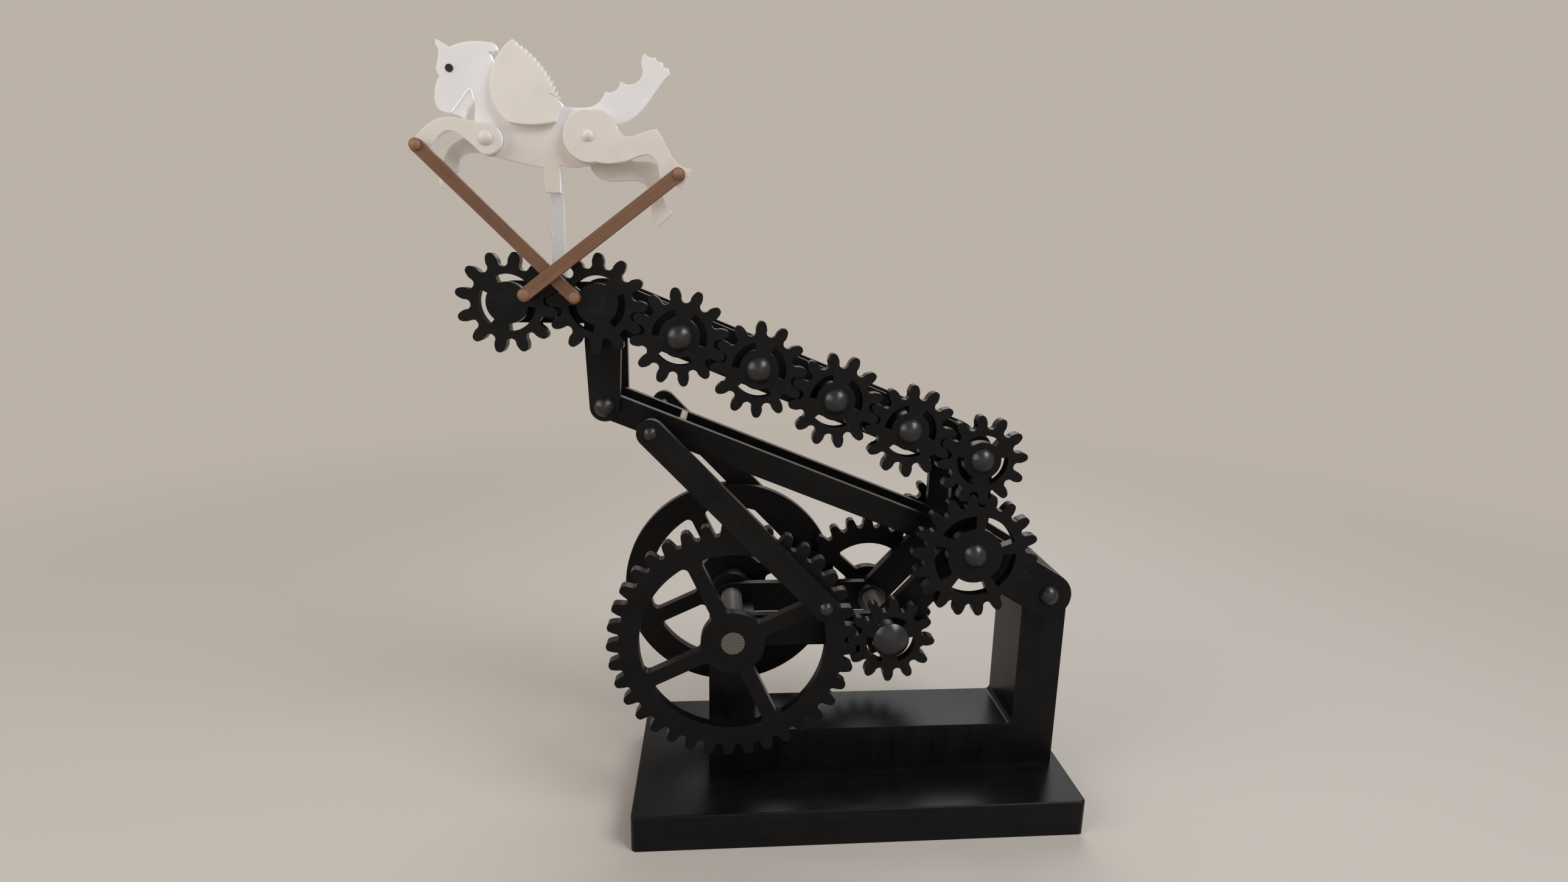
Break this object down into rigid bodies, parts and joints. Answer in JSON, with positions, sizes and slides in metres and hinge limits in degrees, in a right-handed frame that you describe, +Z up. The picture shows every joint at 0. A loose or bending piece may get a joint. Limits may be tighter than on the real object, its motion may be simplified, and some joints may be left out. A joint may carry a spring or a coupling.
{
  "type": "crank automaton",
  "caption": "Tabletop wooden automaton: a crank gear drives a swinging parallel arm and a chain of gears that gallop a flat winged horse on a clear post.",
  "frame": {"origin": "centre of the base board's underside", "axes": "+Z up, +X to the right along the base board, -Y towards the front, where the gears are"},
  "size_m": [0.3464, 0.115, 0.4058],
  "materials": {
    "black_wood": "satin black paint",
    "black_gloss": "gloss black",
    "pale_wood": "bare pale dowel",
    "brown_wood": "bare brown wood",
    "white_plastic": "satin, slightly translucent white",
    "clear_plastic": "clear acrylic"
  },
  "bodies": {
    "stand": {"base_board": "black_wood", "u_frame": "black_wood", "front_side_plate": "black_wood", "rear_side_plate": "black_wood", "strut_peg": "black_gloss", "top_axle": "black_gloss"},
    "crank": {"main_gear": "black_wood", "hand_wheel": "black_wood", "main_shaft": "pale_wood", "crank_pins": "pale_wood"},
    "countershaft": {"counter_shaft": "pale_wood", "counter_pinion": "black_wood", "counter_gear": "black_wood", "counter_collars": "black_gloss"},
    "drive": {"drive_axle": "black_gloss", "drive_gear": "black_wood", "drive_pinion": "black_wood"},
    "top_idler": {"top_gear": "black_wood"},
    "lower_arm": {"lower_bar_front": "black_wood", "lower_bar_rear": "black_wood", "arm_spacer": "pale_wood", "link_pin": "black_gloss"},
    "upper_arm": {"upper_bar_front": "black_wood", "upper_bar_rear": "black_wood"},
    "head": {"head_link_front": "black_wood", "head_link_rear": "black_wood", "clear_post": "clear_plastic", "horse_body": "white_plastic", "eye": "black_gloss", "near_wing": "white_plastic", "far_wing": "white_plastic"},
    "rods": {"connecting_rod_front": "black_wood", "connecting_rod_rear": "black_wood", "rod_pin": "black_gloss", "rod_foot_pins": "black_gloss"},
    "front_legs": {"front_leg_near": "white_plastic", "front_leg_far": "white_plastic", "front_leg_axle": "brown_wood", "front_hoof_pin": "brown_wood"},
    "hind_legs": {"hind_leg_near": "white_plastic", "hind_leg_far": "white_plastic", "hind_leg_axle": "brown_wood", "hind_hoof_pin": "brown_wood"},
    "front_stick_body": {"front_stick": "brown_wood", "front_throw_pin": "brown_wood"},
    "hind_stick_body": {"hind_stick": "brown_wood", "hind_throw_pin": "brown_wood"},
    "chain_hub_1": {"chain_axle_1": "black_gloss"},
    "chain_pinion_1": {"chain_gear_1": "black_wood"},
    "chain_hub_2": {"chain_axle_2": "black_gloss"},
    "chain_pinion_2": {"chain_gear_2": "black_wood"},
    "chain_hub_3": {"chain_axle_3": "black_gloss"},
    "chain_pinion_3": {"chain_gear_3": "black_wood"},
    "chain_hub_4": {"chain_axle_4": "black_gloss"},
    "chain_pinion_4": {"chain_gear_4": "black_wood"},
    "right_head_hub": {"right_head_axle": "pale_wood"},
    "right_head_pinion": {"right_head_gear": "black_wood"},
    "left_head_hub": {"left_head_axle": "pale_wood"},
    "left_head_pinion": {"left_head_gear": "black_wood"}
  },
  "joints": [
    {"name": "crank_turn", "type": "hinge", "parent": "stand", "child": "crank", "pos_m": [-0.0715, 0, 0.112], "axis": [0, -1, 0], "continuous": true},
    {"name": "countershaft_turn", "type": "hinge", "parent": "stand", "child": "countershaft", "pos_m": [0.01425, 0, 0.112], "axis": [0, -1, 0], "continuous": true},
    {"name": "drive_turn", "type": "hinge", "parent": "stand", "child": "drive", "pos_m": [0.05774, 0, 0.15997], "axis": [0, -1, 0], "continuous": true},
    {"name": "top_idler_turn", "type": "hinge", "parent": "stand", "child": "top_idler", "pos_m": [0.05774, 0, 0.21247], "axis": [0, -1, 0], "continuous": true},
    {"name": "arm_swing", "type": "hinge", "parent": "stand", "child": "lower_arm", "pos_m": [0.05774, 0, 0.15997], "axis": [0, -1, 0], "range_deg": [-26.2, 19.4]},
    {"name": "upper_arm_swing", "type": "hinge", "parent": "stand", "child": "upper_arm", "pos_m": [0.05774, 0, 0.21247], "axis": [0, -1, 0], "range_deg": [-27, 20]},
    {"name": "head_level", "type": "hinge", "parent": "lower_arm", "child": "head", "pos_m": [-0.13751, 0, 0.23727], "axis": [0, -1, 0], "range_deg": [-20, 27]},
    {"name": "chain_hub_1_roll", "type": "hinge", "parent": "upper_arm", "child": "chain_hub_1", "pos_m": [0.01869, 0, 0.22793], "axis": [0, -1, 0], "range_deg": [-28, 28]},
    {"name": "chain_pinion_1_turn", "type": "hinge", "parent": "chain_hub_1", "child": "chain_pinion_1", "pos_m": [0.01869, 0, 0.22793], "axis": [0, -1, 0], "continuous": true},
    {"name": "chain_hub_2_roll", "type": "hinge", "parent": "upper_arm", "child": "chain_hub_2", "pos_m": [-0.02036, 0, 0.24339], "axis": [0, -1, 0], "range_deg": [-28, 28]},
    {"name": "chain_pinion_2_turn", "type": "hinge", "parent": "chain_hub_2", "child": "chain_pinion_2", "pos_m": [-0.02036, 0, 0.24339], "axis": [0, -1, 0], "continuous": true},
    {"name": "chain_hub_3_roll", "type": "hinge", "parent": "upper_arm", "child": "chain_hub_3", "pos_m": [-0.05941, 0, 0.25885], "axis": [0, -1, 0], "range_deg": [-28, 28]},
    {"name": "chain_pinion_3_turn", "type": "hinge", "parent": "chain_hub_3", "child": "chain_pinion_3", "pos_m": [-0.05941, 0, 0.25885], "axis": [0, -1, 0], "continuous": true},
    {"name": "chain_hub_4_roll", "type": "hinge", "parent": "upper_arm", "child": "chain_hub_4", "pos_m": [-0.09846, 0, 0.27431], "axis": [0, -1, 0], "range_deg": [-28, 28]},
    {"name": "chain_pinion_4_turn", "type": "hinge", "parent": "chain_hub_4", "child": "chain_pinion_4", "pos_m": [-0.09846, 0, 0.27431], "axis": [0, -1, 0], "continuous": true},
    {"name": "right_head_hub_roll", "type": "hinge", "parent": "head", "child": "right_head_hub", "pos_m": [-0.13751, 0, 0.28977], "axis": [0, -1, 0], "range_deg": [-54, 54]},
    {"name": "right_head_pinion_turn", "type": "hinge", "parent": "right_head_hub", "child": "right_head_pinion", "pos_m": [-0.13751, 0, 0.28977], "axis": [0, -1, 0], "continuous": true},
    {"name": "left_head_hub_roll", "type": "hinge", "parent": "head", "child": "left_head_hub", "pos_m": [-0.17951, 0, 0.28977], "axis": [0, -1, 0], "range_deg": [-54, 54]},
    {"name": "left_head_pinion_turn", "type": "hinge", "parent": "left_head_hub", "child": "left_head_pinion", "pos_m": [-0.17951, 0, 0.28977], "axis": [0, -1, 0], "continuous": true},
    {"name": "rod_swing", "type": "hinge", "parent": "lower_arm", "child": "rods", "pos_m": [-0.11278, 0, 0.22748], "axis": [0, -1, 0], "range_deg": [-49, 1]},
    {"name": "front_leg_swing", "type": "hinge", "parent": "head", "child": "front_legs", "pos_m": [-0.18531, 0, 0.36357], "axis": [0, -1, 0], "range_deg": [-2.7, 42.3]},
    {"name": "hind_leg_swing", "type": "hinge", "parent": "head", "child": "hind_legs", "pos_m": [-0.13931, 0, 0.36597], "axis": [0, -1, 0], "range_deg": [-28.5, 0.5]},
    {"name": "front_stick_swing", "type": "hinge", "parent": "front_legs", "child": "front_stick_body", "pos_m": [-0.21451, 0, 0.35897], "axis": [0, -1, 0], "range_deg": [-36, 6]},
    {"name": "hind_stick_swing", "type": "hinge", "parent": "hind_legs", "child": "hind_stick_body", "pos_m": [-0.09781, 0, 0.34937], "axis": [0, -1, 0], "range_deg": [-4, 24]}
  ],
  "couplings": [
    {"joint": "countershaft_turn", "follows": "crank_turn", "ratio": -3.0833},
    {"joint": "drive_turn", "follows": "crank_turn", "ratio": 6.4236},
    {"joint": "top_idler_turn", "follows": "crank_turn", "ratio": -9.6354},
    {"joint": "upper_arm_swing", "follows": "arm_swing", "ratio": 1},
    {"joint": "head_level", "follows": "arm_swing", "ratio": -1},
    {"joint": "chain_hub_1_roll", "follows": "arm_swing", "ratio": 1},
    {"joint": "chain_pinion_1_turn", "follows": "crank_turn", "ratio": 9.6354},
    {"joint": "chain_hub_2_roll", "follows": "arm_swing", "ratio": -1},
    {"joint": "chain_pinion_2_turn", "follows": "crank_turn", "ratio": -9.6354},
    {"joint": "chain_hub_3_roll", "follows": "arm_swing", "ratio": 1},
    {"joint": "chain_pinion_3_turn", "follows": "crank_turn", "ratio": 9.6354},
    {"joint": "chain_hub_4_roll", "follows": "arm_swing", "ratio": -1},
    {"joint": "chain_pinion_4_turn", "follows": "crank_turn", "ratio": -9.6354},
    {"joint": "right_head_hub_roll", "follows": "arm_swing", "ratio": 2},
    {"joint": "right_head_pinion_turn", "follows": "crank_turn", "ratio": 9.6354},
    {"joint": "left_head_hub_roll", "follows": "arm_swing", "ratio": -2},
    {"joint": "left_head_pinion_turn", "follows": "crank_turn", "ratio": -9.6354},
    {"joint": "front_stick_swing", "follows": "front_leg_swing", "ratio": -0.8},
    {"joint": "hind_stick_swing", "follows": "hind_leg_swing", "ratio": -0.75}
  ]
}
